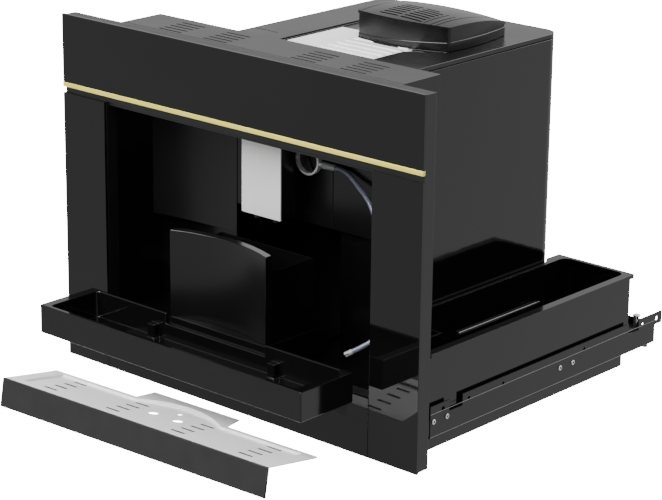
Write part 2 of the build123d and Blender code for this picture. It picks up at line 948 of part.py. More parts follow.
def make_grounds_bin():
    """The open bin behind the curved front."""
    side = container_width / 2 - bin_wall
    y0 = tray_back + container_front_wall
    y1 = y0 + bin_depth
    solid = block(-side, side, y0, y1, tongue_top, tongue_top + bin_height)
    wall = container_arc(container_front_wall, container_width / 2)
    before = y0 - bin_setback
    outside = Polyline(wall @ 1, (container_width / 2, before), (-container_width / 2, before), wall @ 0)
    solid -= extrude(Plane.XY.offset(tongue_top) * make_face(wall + outside), bin_height)
    curve = container_arc(container_front_wall + bin_wall, side - bin_wall)
    rest = Polyline(curve @ 1, (side - bin_wall, y1 - bin_wall), (-side + bin_wall, y1 - bin_wall), curve @ 0)
    hollow = extrude(Plane.XY.offset(tongue_top + bin_wall) * make_face(curve + rest), bin_height)
    return solid - hollow


def grid_slots(x):
    """A column of slots in the drip grid's sunk field."""
    left, right = x - grid_slot_length / 2, x + grid_slot_length / 2
    slots = []
    for row in range(grid_slot_rows):
        y = grid_slot_first + row * grid_slot_pitch
        front, back = y - grid_slot_width / 2, y + grid_slot_width / 2
        slots.append(block(left, right, front, back, -grid_well_depth - grid_sheet, 0))
    return slots


def grid_layer(top, bottom):
    """What lies between two depths under the grid's top, level at first and rising along the tab."""
    bend = grid_depth - grid_tab_bend
    end = grid_depth + grid_tab_depth
    rise = grid_tab_rise
    side = Polyline(
        (0, -bottom),
        (0, -top),
        (bend, -top),
        (end, rise - top),
        (end, rise - bottom),
        (bend, -bottom),
        close=True,
    )
    return extrude(Plane.YZ.offset(-grid_width / 2) * make_face(side), grid_width)


def grid_plan():
    """The grid's outline with its tab, through the whole height."""
    side = grid_width / 2
    tab_half = grid_tab_width / 2
    end = grid_depth + grid_tab_depth
    outline = (
        (-side, 0),
        (side, 0),
        (side, grid_depth),
        (tab_half, grid_depth),
        (tab_half - grid_tab_splay, end),
        (-tab_half + grid_tab_splay, end),
        (-tab_half, grid_depth),
        (-side, grid_depth),
    )
    return prism(outline, -fascia_height, fascia_height)


def grid_field(margin):
    """The sunk field with its bow into the tab, through the whole height."""
    side = grid_width / 2 - grid_side_rim
    back = grid_depth - grid_back_rim
    arc_half = grid_arc_width / 2
    bow = ThreePointArc((arc_half, back), (0, back + grid_arc_depth), (-arc_half, back))
    rest = Polyline(
        (-arc_half, back),
        (-side, back),
        (-side, grid_front_rim),
        (side, grid_front_rim),
        (side, back),
        (arc_half, back),
    )
    outline = offset(make_face(bow + rest), margin)
    return extrude(Plane.XY.offset(-fascia_height) * outline, 2 * fascia_height)


def make_flat_grid():
    """The grid lying level with its front top edge on the origin."""
    plate = grid_layer(0, grid_sheet) & grid_plan()
    pan = grid_layer(0, fascia_height) & grid_field(grid_sheet)
    pan -= block(
        -grid_width / 2, grid_width / 2, 0, 2 * grid_depth, -2 * fascia_height, -grid_well_depth - grid_sheet
    )
    hollow = grid_field(0) & block(
        -grid_width / 2, grid_width / 2, 0, 2 * grid_depth, -grid_well_depth, fascia_height
    )
    foot = grid_depth * math.tan(math.radians(grid_tilt)) - fascia_height
    leg = block(grid_leg_inner, grid_leg_outer, grid_depth - grid_sheet, grid_depth, foot, -grid_sheet)
    grid = plate + pan - hollow + leg + mirrored(leg)
    for x in grid_slot_places:
        grid -= grid_slots(x)
    hole_x, hole_y = grid_hole_place
    bottom = -grid_well_depth - grid_sheet
    for x in (-hole_x, hole_x):
        grid -= upright(x, hole_y, bottom, 0, grid_hole_radius)
    return grid - upright(0, grid_small_hole_y, bottom, 0, grid_small_hole_radius)


def grid_place():
    """Where the grid was set down: turned a little, its back edge lower than its front."""
    tilt = math.radians(grid_tilt)
    height = fascia_height * math.cos(tilt)
    return Pos(grid_place_x, grid_place_y, height) * Rot(0, 0, grid_turn) * Rot(-grid_tilt, 0, 0)


def make_fascia():
    """The black strip folded down along the grid's front."""
    side = grid_width / 2 + fascia_overlap
    fascia = block(-side, side, -fascia_thickness, 0, -fascia_height, 0)
    skin = (fascia_thickness - fascia_slot) / 2
    low = -fascia_height + fascia_slot
    slot = block(side - fascia_slot_depth, side, -fascia_thickness + skin, -skin, low, -fascia_slot)
    return fascia - slot - mirror(slot, Plane.YZ)


# ---------------------------------------------------------------- water tank
def tank_outline(left, right, front, back, neck_left, neck_front):
    """The tank's plan: a long box whose right side runs on beside the housing."""
    return (
        (left, back),
        (left, front),
        (neck_left, front),
        (neck_left, neck_front),
        (right, neck_front),
        (right, back),
    )


def make_water_tank():
    """The open tank with its rim."""
    outer = prism(
        tank_outline(tank_left, tank_right, tank_front, tank_back, tank_neck_left, tank_neck_front),
        tank_bottom,
        tank_top - rim_height,
    )
    rim = prism(
        tank_outline(
            tank_left - rim_left,
            tank_right + rim_right,
            tank_front,
            tank_back + rim_back,
            tank_neck_left,
            tank_neck_front,
        ),
        tank_top - rim_height,
        tank_top,
    )
    wall = tank_wall
    inner_right = tank_right - wall
    hollow = prism(
        tank_outline(
            tank_left + wall,
            inner_right,
            tank_front + wall,
            tank_back - wall,
            tank_neck_left + wall,
            tank_neck_front + wall,
        ),
        tank_bottom + wall,
        tank_top - rim_height,
    )
    mouth = prism(
        tank_outline(
            tank_left + wall,
            tank_right - rim_inner_right,
            tank_front + wall,
            tank_back - rim_inner_right,
            tank_neck_left + wall,
            tank_neck_front + wall,
        ),
        tank_top - rim_height,
        tank_top,
    )
    low = tank_top - rim_height
    heel_left = tank_left - rim_left - rim_heel
    heel = block(heel_left, tank_left, body_back - body_corner, tank_back + rim_back, low, tank_top)
    gap = tank_side_gap - rim_left
    room = block(body_left, body_right + gap, 0, body_back + gap, low, tank_top)
    rim += heel - fillet(room.edges().filter_by(Axis.Z).sort_by(Axis.Y)[-2:], body_corner + gap)
    outer = fillet(outer.edges().filter_by(Axis.Z).sort_by(Axis.Y)[-2:], rim_corner)
    rim = fillet(rim.edges().filter_by(Axis.Z).sort_by(Axis.Y)[-2:], rim_corner)
    hollow = fillet(hollow.edges().filter_by(Axis.Z).sort_by(Axis.Y)[-2:], tank_corner - wall)
    mouth = fillet(mouth.edges().filter_by(Axis.Z).sort_by(Axis.Y)[-2:], tank_corner - wall)
    return outer + rim - hollow - mouth


def make_tank_pipe():
    """The pipe along the tank's left inner wall."""
    x = tank_left + tank_wall + pipe_radius
    return bar_y(x, pipe_height, pipe_front, pipe_back, pipe_radius)


def make_tank_valve():
    """The outlet valve on the tank's floor."""
    x = tank_left + valve_inset
    floor = tank_bottom + tank_wall
    valve = upright(x, valve_y, floor, floor + valve_height, valve_radius)
    return valve - upright(x, valve_y, floor + tank_wall, floor + valve_height, valve_radius - valve_wall)


# ---------------------------------------------------------------- rear body
def make_body_shell():
    """The body's side walls, open at the front and the back."""
    outer = block(body_left, body_right, cover_back, body_back, floor_top, shell_top)
    outer = fillet(outer.edges().filter_by(Axis.Z).sort_by(Axis.Y)[-2:], body_corner)
    inner = block(
        body_left + body_wall, body_right - body_wall, cover_back, body_back - body_wall, floor_top, shell_top
    )
    inner = fillet(inner.edges().filter_by(Axis.Z).sort_by(Axis.Y)[-2:], body_corner - body_wall)
    window = block(
        body_left + rear_cover_inset,
        body_right - rear_cover_inset,
        body_back - body_wall,
        body_back,
        floor_top + rear_cover_inset,
        shell_top - rear_cover_inset,
    )
    return outer - inner - window


def make_rear_cover():
    """The screwed-on plate over the body's rear window, with vent slots and the inlet's hole."""
    lap = rear_cover_lap
    left = body_left + rear_cover_inset - lap
    right = body_right - rear_cover_inset + lap
    back = body_back + rear_cover_thickness
    bottom = floor_top + rear_cover_inset - lap
    plate = soft_plate(left, right, body_back, back, bottom, shell_top - rear_cover_inset + lap, lap)
    middle = (left + right) / 2
    for row in range(rear_vent_count):
        z = shell_top - rear_vent_drop - row * rear_vent_pitch
        low, high = z - rear_vent_height / 2, z + rear_vent_height / 2
        for x in (middle - rear_vent_spacing / 2, middle + rear_vent_spacing / 2):
            plate -= block(x - rear_vent_width / 2, x + rear_vent_width / 2, body_back, back, low, high)
    low, high = inlet_z - inlet_height / 2, inlet_z + inlet_height / 2
    return plate - block(inlet_x - inlet_width / 2, inlet_x + inlet_width / 2, body_back, back, low, high)


def soft_plate(x0, x1, y0, y1, z0, z1, radius):
    """An upright plate with rounded corners."""
    solid = block(x0, x1, y0, y1, z0, z1)
    return fillet(solid.edges().filter_by(Axis.Y), radius)


def make_mains_inlet():
    """The appliance inlet in the rear cover."""
    back = body_back + rear_cover_thickness
    x0 = inlet_x - inlet_width / 2
    z0 = inlet_z - inlet_height / 2
    body = block(x0, x0 + inlet_width, back - inlet_depth, back, z0, z0 + inlet_height)
    depth = back - inlet_well_depth
    rim = inlet_rim
    side = inlet_width / 2 - inlet_side
    well = block(inlet_x - side, inlet_x + side, depth, back, z0 + rim, z0 + inlet_height - rim)
    for step in (-1, 0, 1):
        x = inlet_x + step * inlet_pin_pitch
        left, right = x - inlet_pin_width / 2, x + inlet_pin_width / 2
        low, high = inlet_z - inlet_pin_height / 2, inlet_z + inlet_pin_height / 2
        well -= block(left, right, depth, back - inlet_pin_height, low, high)
    return body - well


def cover_outline():
    """The top cover's plan with rounded rear corners."""
    solid = block(body_left, body_right, cover_back, body_back, cover_bottom, body_top)
    return fillet(solid.edges().filter_by(Axis.Z).sort_by(Axis.Y)[-2:], body_corner)


def cup_well(z0, z1):
    """The cup plate's well, which widens towards the hopper and stops at its collar."""
    outline = (
        (cup_plate_left - cup_groove, cup_plate_front),
        (cup_plate_right, cup_plate_front),
        (cup_plate_right, cup_well_turn),
        cup_well_tip,
        (cup_plate_right, cup_plate_back),
        (mouth_left, cup_plate_back),
        (mouth_left, cup_well_back),
        (cup_plate_left - cup_groove, cup_well_back),
    )
    return prism(outline, z0, z1) - lid_plan(z0, z1, 0)


def make_top_cover():
    """The body's top, with wells for the cup plate and the hopper and a lip into the shell."""
    cover = cover_outline()
    gap = body_wall + cover_lip_gap
    bottom = shell_top - cover_lip
    lip = block(body_left + gap, body_right - gap, cover_back, body_back - gap, bottom, cover_bottom)
    lip = fillet(lip.edges().filter_by(Axis.Z).sort_by(Axis.Y)[-2:], body_corner - body_wall)
    inner = body_wall + cover_lip_width
    hollow = block(
        body_left + inner, body_right - inner, cover_back, body_back - inner, bottom, cover_bottom
    )
    lip -= fillet(hollow.edges().filter_by(Axis.Z).sort_by(Axis.Y)[-2:], body_corner - inner)
    mouth = hopper_mouth(0, cover_bottom, body_top)
    return cover + lip - side_lid_box(0) - cup_well(well_floor, body_top) - mouth


def side_lid_box(gap):
    """The space of the lid strip along the cover's left edge, less a gap all round."""
    right = body_left + side_lid_width
    solid = block(body_left, right - gap, side_lid_front + gap, body_back, well_floor, body_top)
    return solid & cover_outline()


def hopper_mouth(inset, z0, z1):
    """The opening through the cover over the hopper, less an inset all round."""
    return block(mouth_left + inset, mouth_right - inset, mouth_front + inset, mouth_back - inset, z0, z1)


def make_cup_plate():
    """The ribbed steel plate set into the top cover, cut away round the hopper."""
    z0 = well_floor
    z1 = z0 + cup_plate_thickness
    z2 = z1 + cup_rib_height
    plate = block(cup_plate_left, cup_plate_right, cup_plate_front, cup_plate_back, z0, z1)
    for index in range(cup_rib_count):
        y = cup_rib_first + index * cup_rib_pitch
        front, back = y - cup_rib_width / 2, y + cup_rib_width / 2
        rib = block(cup_rib_left, cup_rib_right, front, back, z1, z2)
        plate += fillet(rib.edges().filter_by(Axis.Z), cup_rib_end_share * cup_rib_width)
    return plate - lid_plan(z0, z2, -cup_plate_gap)


def lid_plan(z0, z1, inset):
    """The hopper's outline, bowed at the front and the right."""
    front = ThreePointArc((lid_left, lid_front), lid_front_bow, lid_right_front)
    right = ThreePointArc(lid_right_front, lid_right_bow, lid_right_back)
    rest = Polyline(lid_right_back, (lid_left, lid_back), (lid_left, lid_front))
    outline = make_face(front + right + rest)
    if inset:
        outline = offset(outline, -inset, kind=Kind.INTERSECTION)
    solid = extrude(Plane.XY.offset(z0) * outline, z1 - z0)
    return fillet(solid.edges().filter_by(Axis.Z), lid_corner)


def dome(drop):
    """What lies under the lid's domed surface, or a little below it."""
    middle = body_top + dome_rise - dome_radius_x
    ring = Torus(dome_radius_x - dome_radius_y, dome_radius_y - drop)
    return Pos(dome_x, dome_y, middle) * Rot(90, 0, 0) * ring


def under_seam(raise_by):
    """What lies under the sloping seam between collar and lid, or a little above it."""
    run = lid_right_front[0] - lid_left
    low = body_top + raise_by + 2 * collar_left_height - collar_right_height
    high = body_top + raise_by + 2 * collar_right_height - collar_left_height
    side = Polyline(
        (lid_left - run, tub_bottom),
        (lid_left - run, low),
        (lid_left + 2 * run, high),
        (lid_left + 2 * run, tub_bottom),
        close=True,
    )
    return extrude(Plane.XZ.offset(-lid_back - run) * make_face(side), 2 * (lid_back - lid_front) + 2 * run)


def make_hopper():
    """The black collar round the hopper's mouth, with the tub, funnel and throat below it."""
    highest = body_top + dome_rise
    collar = lid_plan(body_top, highest, collar_inset) & under_seam(0)
    inset = lid_lip_overhang + lid_wall + hopper_gap
    rebate = lid_plan(body_top, highest, inset) - lid_plan(body_top, highest, inset + collar_rebate_width)
    collar += rebate & under_seam(collar_rebate)
    outer_inset = hopper_gap
    inner_inset = hopper_gap + hopper_wall
    tub = hopper_mouth(outer_inset, tub_bottom, body_top)
    hollow = hopper_mouth(inner_inset, tub_bottom, highest)
    throat_top = grinder_top() + throat_share * (tub_bottom - grinder_top())
    half_out = throat_half + hopper_wall
    funnel = funnel_between(outer_inset, half_out, throat_top)
    funnel_hollow = funnel_between(inner_inset, throat_half, throat_top)
    throat = square_pipe(half_out, throat_top) - square_pipe(throat_half, throat_top)
    knob_x, knob_y = knob_place()
    ledge_top = body_top - knob_drop
    ledge = block(
        knob_x - knob_radius,
        mouth_right - outer_inset,
        knob_y - knob_radius,
        knob_y + knob_radius,
        ledge_top - knob_ledge,
        ledge_top,
    )
    return collar + tub + funnel - hollow - funnel_hollow + throat + ledge


def square_pipe(side, top):
    """A square bar on the grinder's top, where the beans fall through."""
    return block(grinder_x - side, grinder_x + side, grinder_y - side, grinder_y + side, grinder_top(), top)


def funnel_between(inset, side, bottom):
    """The four-sided funnel from the tub's floor to the throat."""
    upper = Pos((mouth_left + mouth_right) / 2, (mouth_front + mouth_back) / 2, tub_bottom) * Rectangle(
        mouth_right - mouth_left - 2 * inset, mouth_back - mouth_front - 2 * inset
    )
    lower = Pos(grinder_x, grinder_y, bottom) * Rectangle(2 * side, 2 * side)
    return loft([lower, upper], ruled=True)


def make_hopper_lid():
    """The hopper's lid: a shallow dome on thin walls, with two groups of grille slots."""
    highest = body_top + dome_rise
    cap = (lid_plan(body_top, highest, 0) & dome(0)) - dome(lid_lip)
    inset = lid_lip_overhang
    wall = lid_plan(body_top, highest, inset) - lid_plan(body_top, highest, inset + lid_wall)
    lid = cap + ((wall & dome(lid_lip / 2)) - under_seam(0))
    skin_bottom = body_top + dome_rise / 4
    for row in range(grille_rows):
        y = grille_front + row * grille_pitch
        back = y + grille_slot_width
        right = grille_right_last if row == grille_rows - 1 else grille_right[1]
        lid -= block(grille_left[0], grille_left[1], y, back, skin_bottom, highest)
        lid -= block(grille_right[0], right, y, back, skin_bottom, highest)
    lines = []
    for x in lid_grooves_x:
        lines.append(block(x, x + lid_groove_width, grille_front, lid_groove_back, body_top, highest))
    left = lid_left + lid_seam_inset
    right = lid_right_back[0] - lid_seam_inset
    for x in (left, right):
        lines.append(block(x, x + lid_groove_width, lid_front, lid_back, body_top, highest))
    for line in lines:
        lid -= line - dome(lid_groove_depth)
    return lid


# ---------------------------------------------------------------- grinder and brewing pieces
def grinder_top():
    """The height of the grinder's top, where the hopper's throat ends."""
    return deck_height + motor_height + grinder_height


def make_deck():
    """The shelf inside the body that carries the grinder, on four legs."""
    left = body_left + body_wall
    right = body_right - body_wall
    front = liner_depth + compartment_depth + deck_gap
    back = body_back - body_wall - body_corner
    deck = block(left, right, front, back, deck_height - deck_thickness, deck_height)
    for x in (left, right - deck_leg):
        for y in (front, back - deck_leg):
            deck += block(x, x + deck_leg, y, y + deck_leg, floor_top, deck_height - deck_thickness)
    return deck


def make_grinder_motor():
    """The grinder's motor, bored for the burr's shaft."""
    top = deck_height + motor_height
    motor = upright(grinder_x, grinder_y, deck_height, top, motor_radius)
    bore = motor_shaft_radius + shaft_clearance
    return motor - upright(grinder_x, grinder_y, top - shaft_depth, top, bore)


def make_grinder_housing():
    """The grinder's case, hollow round the burr."""
    bottom = deck_height + motor_height
    top = grinder_top()
    case = upright(grinder_x, grinder_y, bottom, top, grinder_radius)
    chamber_radius = burr_radius + burr_chamber_gap
    chamber = upright(grinder_x, grinder_y, bottom + grinder_wall, top - grinder_wall, chamber_radius)
    shaft_radius = motor_shaft_radius + case_shaft_gap
    shaft = upright(grinder_x, grinder_y, bottom, bottom + grinder_wall, shaft_radius)
    throat = upright(grinder_x, grinder_y, top - grinder_wall, top, throat_radius)
    return case - chamber - shaft - throat


def make_burr():
    """The turning burr on its shaft."""
    bottom = deck_height + motor_height
    base = bottom + grinder_wall + burr_gap
    top_radius = burr_radius * burr_taper
    plane = Plane((grinder_x, grinder_y, base))
    cone = Solid.make_cone(burr_radius, top_radius, burr_height, plane=plane)
    low = bottom - shaft_depth + burr_gap
    return cone + upright(grinder_x, grinder_y, low, base + burr_height / 2, motor_shaft_radius)


def knob_place():
    """The middle of the coarseness knob."""
    x = mouth_right - hopper_gap - hopper_wall - knob_gap - knob_radius
    return x, (mouth_front + mouth_back) / 2


def make_grind_knob():
    """The coarseness knob on a ledge in the hopper."""
    x, y = knob_place()
    z0 = body_top - knob_drop
    top = z0 + knob_height
    knob = upright(x, y, z0, top, knob_radius)
    mark = knob_mark
    return knob - block(x - knob_radius, x - mark, y - mark, y + mark, top - mark, top)


def make_brew_cylinder():
    """The brewing chamber, standing on a base block."""
    z0 = floor_top + brew_base
    outer = upright(brew_x, brew_y, z0, z0 + brew_height, brew_radius + brew_wall)
    bore = upright(brew_x, brew_y, z0 + brew_wall, z0 + brew_height, brew_radius)
    reach = brew_foot_half
    foot = block(brew_x - reach, brew_x + reach, brew_y - reach, brew_y + reach, floor_top, z0)
    return outer - bore + foot


def make_brew_piston():
    """The piston in the brewing chamber."""
    z0 = floor_top + brew_base + piston_start
    z1 = z0 + piston_height
    head = upright(brew_x, brew_y, z0, z1, brew_radius - piston_fit)
    return head + upright(brew_x, brew_y, z1, z1 + rod_length, rod_radius)


def make_boiler():
    """The water heater with two bands."""
    z0 = floor_top
    boiler = upright(boiler_x, boiler_y, z0, z0 + boiler_height, boiler_radius)
    boiler = fillet(boiler.edges().sort_by(Axis.Z)[-1], boiler_round)
    for share in boiler_band_places:
        z = z0 + boiler_height * share - boiler_band_height / 2
        boiler += upright(boiler_x, boiler_y, z, z + boiler_band_height, boiler_radius + boiler_band)
    return boiler


def make_pump():
    """The water pump lying on its cradle."""
    z = floor_top + pump_lift + pump_radius
    end = pump_x + pump_length / 2
    body = bar_x(pump_y, z, end - pump_length, end, pump_radius)
    nose = bar_x(pump_y, z, end, end + pump_nose_length, pump_nose_radius)
    left, right = pump_x - cradle_length / 2, pump_x + cradle_length / 2
    cradle = block(left, right, pump_y - cradle_depth / 2, pump_y + cradle_depth / 2, floor_top, z)
    return body + nose + (cradle - bar_x(pump_y, z, left, right, pump_radius - pump_sink))


def make_control_board():
    """The touch board behind the top pane, on the frame's back."""
    z0 = brass_top + board_margin
    side = board_width / 2
    board = block(-side, side, 0, board_thickness, z0, z0 + board_height)
    back = board_thickness + chip_height
    for x, z, w, h in board_chips:
        left, bottom = x * side, z0 + z * board_height
        board += block(left, left + w * side, board_thickness, back, bottom, bottom + h * board_height)
    return board


# ---------------------------------------------------------------- all pieces
def build_pieces():
    """Every piece by the name of its node."""
    pieces = {}
    pieces["top_glass"] = pane(-half, half, brass_top, front_height)
    pieces["column_glass_right"] = pane(opening_half, half, 0, column_height)
    pieces["column_glass_left"] = mirrored(pieces["column_glass_right"])
    strip_half = opening_half - pane_seam
    pieces["bottom_glass"] = pane(-strip_half, strip_half, 0, bottom_glass_height)
    pieces["panel_frame"] = make_panel_frame()
    pieces["brass_strip"] = make_brass_strip()
    pieces["lintel"] = make_lintel()
    pieces["vent_housing"] = make_vent_housing()
    pieces["vent_cover"] = make_vent_cover()
    pieces["base_pan"] = make_base_pan()
    pieces["carriage_side_right"] = make_carriage_side()
    pieces["carriage_side_left"] = mirrored(pieces["carriage_side_right"])
    pieces["tank_shelf"] = make_tank_shelf()
    pieces["stop_pin"] = make_stop_pin()
    pieces["cavity_liner"] = make_cavity_liner()
    pieces["grounds_compartment"] = make_compartment()
    pieces["rear_panel_left"] = make_rear_panel_left()
    pieces["rear_panel_centre"] = make_rear_panel_centre()
    pieces["rear_panel_right"] = make_rear_panel_right()
    pieces["spout_block"] = make_spout_block()
    pieces["spout_plate"] = make_spout_plate()
    pieces["coffee_nozzles"] = make_nozzles()
    pieces["frother_body"] = make_frother_body()
    pieces["frother_ring"] = make_frother_ring()
    pieces["frother_dial"] = make_frother_dial()
    pieces["hose_fitting"] = make_hose_fitting()
    pieces["milk_hose"] = make_milk_hose()
    pieces["hose_tip"] = make_hose_tip()
    pieces["drip_tray"] = make_drip_tray()
    pieces["grounds_front"] = make_grounds_front()
    pieces["grounds_bin"] = make_grounds_bin()
    pieces["drip_grid"] = grid_place() * make_flat_grid()
    pieces["grid_fascia"] = grid_place() * make_fascia()
    pieces["water_tank"] = make_water_tank()
    pieces["tank_pipe"] = make_tank_pipe()
    pieces["tank_valve"] = make_tank_valve()
    pieces["body_shell"] = make_body_shell()
    pieces["rear_cover"] = make_rear_cover()
    pieces["mains_inlet"] = make_mains_inlet()
    pieces["top_cover"] = make_top_cover()
    pieces["side_lid"] = side_lid_box(lid_seam)
    pieces["cup_plate"] = make_cup_plate()
    pieces["bean_hopper"] = make_hopper()
    pieces["hopper_lid"] = make_hopper_lid()
    pieces["grind_knob"] = make_grind_knob()
    pieces["grinder_housing"] = make_grinder_housing()
    pieces["grinding_burr"] = make_burr()
    pieces["grinder_motor"] = make_grinder_motor()
    pieces["inner_deck"] = make_deck()
    pieces["brew_cylinder"] = make_brew_cylinder()
    pieces["brew_piston"] = make_brew_piston()
    pieces["boiler"] = make_boiler()
    pieces["pump"] = make_pump()
    pieces["control_board"] = make_control_board()
    pieces["rail_outer_right"] = make_outer_rail()
    pieces["rail_outer_left"] = mirrored(pieces["rail_outer_right"])
    middle = make_middle_rail()
    pieces["rail_middle"] = [middle, mirrored(middle)]
    inner = make_inner_rail()
    pieces["rail_inner"] = [inner, mirrored(inner)]
    pieces["rail_screws"] = make_rail_screws()
    pieces["rail_feet"] = make_rail_feet()
    return pieces


def write_pieces():
    """Writes one file for each node."""
    os.makedirs("parts", exist_ok=True)
    for name, solid in build_pieces().items():
        shape = Compound(children=list(solid)) if isinstance(solid, (list, tuple)) else solid
        export_step(shape, f"parts/{name}.step")


write_pieces()
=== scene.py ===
"""The looks of a built-in coffee machine, drawn out of its niche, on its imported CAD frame."""

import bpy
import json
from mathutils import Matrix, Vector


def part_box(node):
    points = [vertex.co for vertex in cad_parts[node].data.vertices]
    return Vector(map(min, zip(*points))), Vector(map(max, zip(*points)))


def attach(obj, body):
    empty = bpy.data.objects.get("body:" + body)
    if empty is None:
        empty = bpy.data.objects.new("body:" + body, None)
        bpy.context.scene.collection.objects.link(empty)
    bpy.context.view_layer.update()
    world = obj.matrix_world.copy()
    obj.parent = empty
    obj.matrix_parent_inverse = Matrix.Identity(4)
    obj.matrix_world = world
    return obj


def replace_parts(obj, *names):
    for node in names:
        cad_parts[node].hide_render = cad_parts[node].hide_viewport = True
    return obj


bl_info = {
    "name": "Built-in Coffee Machine",
    "version": (1, 0, 0),
    "blender": (4, 5, 0),
    "location": "View3D > Sidebar > Coffee Machine",
    "description": "Builds the glass, steel, plastic and hose pieces of a built-in coffee machine",
    "category": "Add Mesh",
}

import json
import math

import bmesh
import bpy
from mathutils import Matrix, Vector

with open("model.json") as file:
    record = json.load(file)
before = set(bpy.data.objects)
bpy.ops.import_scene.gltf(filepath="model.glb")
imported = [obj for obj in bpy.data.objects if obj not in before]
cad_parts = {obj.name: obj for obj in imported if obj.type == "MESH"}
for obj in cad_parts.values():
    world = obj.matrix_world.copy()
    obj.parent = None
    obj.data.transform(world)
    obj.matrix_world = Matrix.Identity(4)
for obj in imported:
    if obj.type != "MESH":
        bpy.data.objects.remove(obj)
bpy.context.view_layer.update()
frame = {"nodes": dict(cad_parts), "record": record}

NODE_SLOT = {entry["node"]: entry["material_slot"] for entry in frame["record"]["subparts"]}
NODE_BODY = {
    node: body for body, nodes in frame["record"]["behaviour"]["bodies"].items() for node in nodes
}
SHARP_ANGLE = math.radians(35.0)
FLAT_ANGLE = math.radians(0.4)
MERGE_DISTANCE = 1e-6
LINE = 0.0005  # thickness of the thin strips: the painted slot shade, the painted fold highlights and the painted shade of the screw recesses


# ---------------------------------------------------------------- shader expressions
class Signal:
    """A shader socket that takes part in Python expressions."""

    def __init__(self, finish, socket):
        self.finish = finish
        self.socket = socket

    def math(self, operation, other):
        """One Math node on this signal and another value."""
        return self.finish.node("ShaderNodeMath", {"operation": operation}, {0: self, 1: other})

    def __add__(self, other):
        return self.math("ADD", other)

    __radd__ = __add__

    def __mul__(self, other):
        return self.math("MULTIPLY", other)

    __rmul__ = __mul__

    def over(self, limit):
        """1 where the signal is over the limit."""
        return self.math("GREATER_THAN", limit)


class Finish:
    """One material, built on a Principled shader."""

    def __init__(self, name):
        self.material = bpy.data.materials.new(name)
        self.material.use_nodes = True
        self.tree = self.material.node_tree
        self.shader = self.tree.nodes["Principled BSDF"]

    def node(self, kind, settings=(), values=(), output=0):
        """A node of a type with its settings, then the values or links of its sockets."""
        made = self.tree.nodes.new(kind)
        for key, value in dict(settings).items():
            if key == "stops":
                ramp = made.color_ramp
                for element, (place, level) in zip(ramp.elements, value):
                    element.position = place
                    element.color = (level, level, level, 1.0)
            else:
                setattr(made, key, value)
        for key, value in dict(values).items():
            if isinstance(value, Signal):
                self.tree.links.new(value.socket, made.inputs[key])
            else:
                made.inputs[key].default_value = value
        return Signal(self, made.outputs[output])

    def place(self, stretch=(1.0, 1.0, 1.0)):
        """Object coordinates, stretched."""
        here = self.node("ShaderNodeTexCoord", output="Object")
        return self.node("ShaderNodeMapping", {}, {"Vector": here, "Scale": stretch})

    def noise(self, scale, detail=2.0, stretch=(1.0, 1.0, 1.0), rough=0.5):
        """Soft noise, about 0 to 1."""
        values = {"Vector": self.place(stretch), "Scale": scale, "Detail": detail, "Roughness": rough}
        return self.node("ShaderNodeTexNoise", {}, values)

    def cells(self, scale):
        """Distance to the nearest of scattered points, for grain."""
        return self.node("ShaderNodeTexVoronoi", {}, {"Vector": self.place(), "Scale": scale})

    def blend(self, factor, first, second):
        """A colour between two colours."""
        values = {"Factor": factor, 6: (*first, 1.0), 7: (*second, 1.0)}
        return self.node("ShaderNodeMix", {"data_type": "RGBA"}, values, 2)

    def ramp(self, signal, low, high):
        """0 under low, 1 over high."""
        stops = {"stops": ((low, 0.0), (high, 1.0))}
        return self.node("ShaderNodeValToRGB", stops, {"Fac": signal})

    def bump(self, height, distance, strength):
        """Relief of a height signal, its distance in metres."""
        values = {"Height": height, "Distance": distance, "Strength": strength}
        normal = self.node("ShaderNodeBump", {}, values)
        self.tree.links.new(normal.socket, self.shader.inputs["Normal"])

    def set(self, **sockets):
        """Sets or links the shader's sockets, named with underscores for spaces."""
        for key, value in sockets.items():
            socket = self.shader.inputs[key.replace("_", " ")]
            if isinstance(value, Signal):
                self.tree.links.new(value.socket, socket)
            else:
                socket.default_value = value
        return self.material


def shade(colour, factor):
    """The same colour, lighter or darker."""
    return tuple(channel * factor for channel in colour)


# ---------------------------------------------------------------- finishes
def black_glass(name, colour):
    """Back-painted panel glass: a deep gloss with faint wiping marks."""
    finish = Finish(name)
    wipe = finish.noise(9.0, 3.0, stretch=(1.0, 1.0, 2.2))
    haze = finish.ramp(wipe, 0.42, 0.78)
    base = finish.blend(haze, colour, shade(colour, 1.22))
    finish.bump(finish.noise(2.2, 1.0), 0.00035, 0.5)
    return finish.set(Base_Color=base, Roughness=haze * 0.035 + 0.035, IOR=1.5)


def gloss_plastic(name, colour, roughness=0.05):
    """Moulded gloss plastic: slight ripple, handling haze and fine dust."""
    finish = Finish(name)
    ripple = finish.noise(26.0, 2.0)
    haze = finish.ramp(finish.noise(7.0, 4.0), 0.38, 0.72)
    dust = finish.ramp(finish.noise(900.0, 1.0), 0.70, 0.80)
    base = finish.blend(haze * 0.7 + dust * 0.12, colour, shade(colour, 1.6))
    finish.bump(ripple, 0.00025, 0.5)
    return finish.set(Base_Color=base, Roughness=haze * 0.05 + roughness, IOR=1.49)


def satin_plastic(name, colour, roughness=0.42):
    """Fine-grained satin plastic."""
    finish = Finish(name)
    grain = finish.cells(1600.0)
    mottle = finish.noise(40.0, 3.0)
    base = finish.blend(mottle, shade(colour, 0.8), shade(colour, 1.25))
    finish.bump(grain, 0.00012, 0.6)
    return finish.set(Base_Color=base, Roughness=mottle * 0.12 + roughness)


def painted_sheet(name, colour, roughness=0.24):
    """Powder-painted steel sheet with orange peel."""
    finish = Finish(name)
    peel = finish.noise(520.0, 2.0)
    cloud = finish.noise(11.0, 3.0)
    base = finish.blend(cloud, shade(colour, 0.85), shade(colour, 1.2))
    finish.bump(peel, 0.00006, 0.5)
    return finish.set(Base_Color=base, Roughness=cloud * 0.10 + roughness, Specular_IOR_Level=0.42)


